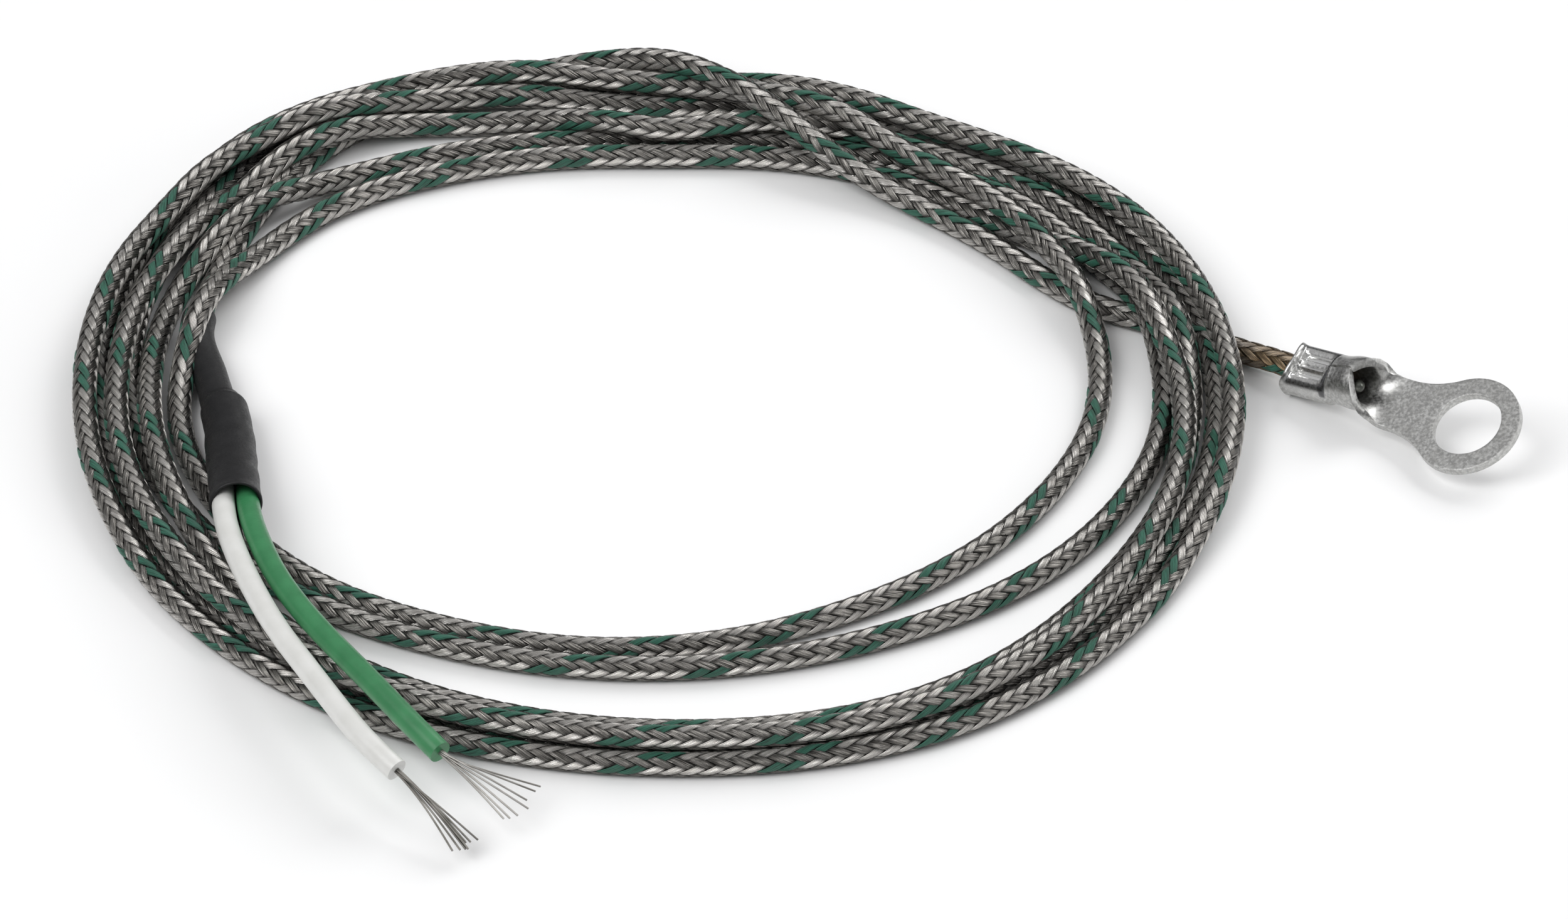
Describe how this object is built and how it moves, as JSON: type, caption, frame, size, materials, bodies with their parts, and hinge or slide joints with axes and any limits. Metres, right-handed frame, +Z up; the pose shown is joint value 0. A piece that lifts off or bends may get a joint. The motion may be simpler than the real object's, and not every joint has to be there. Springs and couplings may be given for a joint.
{
  "type": "ring terminal thermocouple probe",
  "caption": "Ring-terminal thermocouple probe: crimped eyelet on a coiled steel-overbraided lead with two insulated tails and bare stranded ends.",
  "frame": {"origin": "on the surface that the probe lies on, under the middle of the ring terminal", "axes": "+Z up, +X towards the ring's side of the coil, +Y away from the viewer"},
  "size_m": [0.1313, 0.1178, 0.0089],
  "materials": {
    "plated_terminal": "dull tin plate, bright where the crimp tool pressed it",
    "steel_braid": "fine stainless wire braid with a green tracer yarn",
    "heat_tinted_braid": "stainless braid tinted brown by heat",
    "bead_metal": "welded bead",
    "heat_shrink": "matte black polyolefin",
    "green_insulation": "satin green",
    "white_insulation": "satin white",
    "positive_conductor": "bright nickel alloy wire",
    "negative_conductor": "bright nickel alloy wire"
  },
  "bodies": {
    "root": {"ring_terminal": "plated_terminal", "junction_bead": "bead_metal", "cable_end_in_barrel": "heat_tinted_braid", "positive_core_end": "positive_conductor", "negative_core_end": "negative_conductor", "braided_cable_lead": "steel_braid", "braided_cable_coil": "steel_braid", "braided_cable_end": "steel_braid", "narrow_heat_shrink": "heat_shrink", "wide_heat_shrink": "heat_shrink", "green_lead_sleeve": "green_insulation", "white_lead_sleeve": "white_insulation", "positive_core_tail": "positive_conductor", "negative_core_tail": "negative_conductor", "positive_strand_1": "positive_conductor", "positive_strand_2": "positive_conductor", "positive_strand_3": "positive_conductor", "positive_strand_4": "positive_conductor", "positive_strand_5": "positive_conductor", "positive_strand_6": "positive_conductor", "positive_strand_7": "positive_conductor", "negative_strand_1": "negative_conductor", "negative_strand_2": "negative_conductor", "negative_strand_3": "negative_conductor", "negative_strand_4": "negative_conductor", "negative_strand_5": "negative_conductor", "negative_strand_6": "negative_conductor", "negative_strand_7": "negative_conductor"}
  },
  "joints": []
}
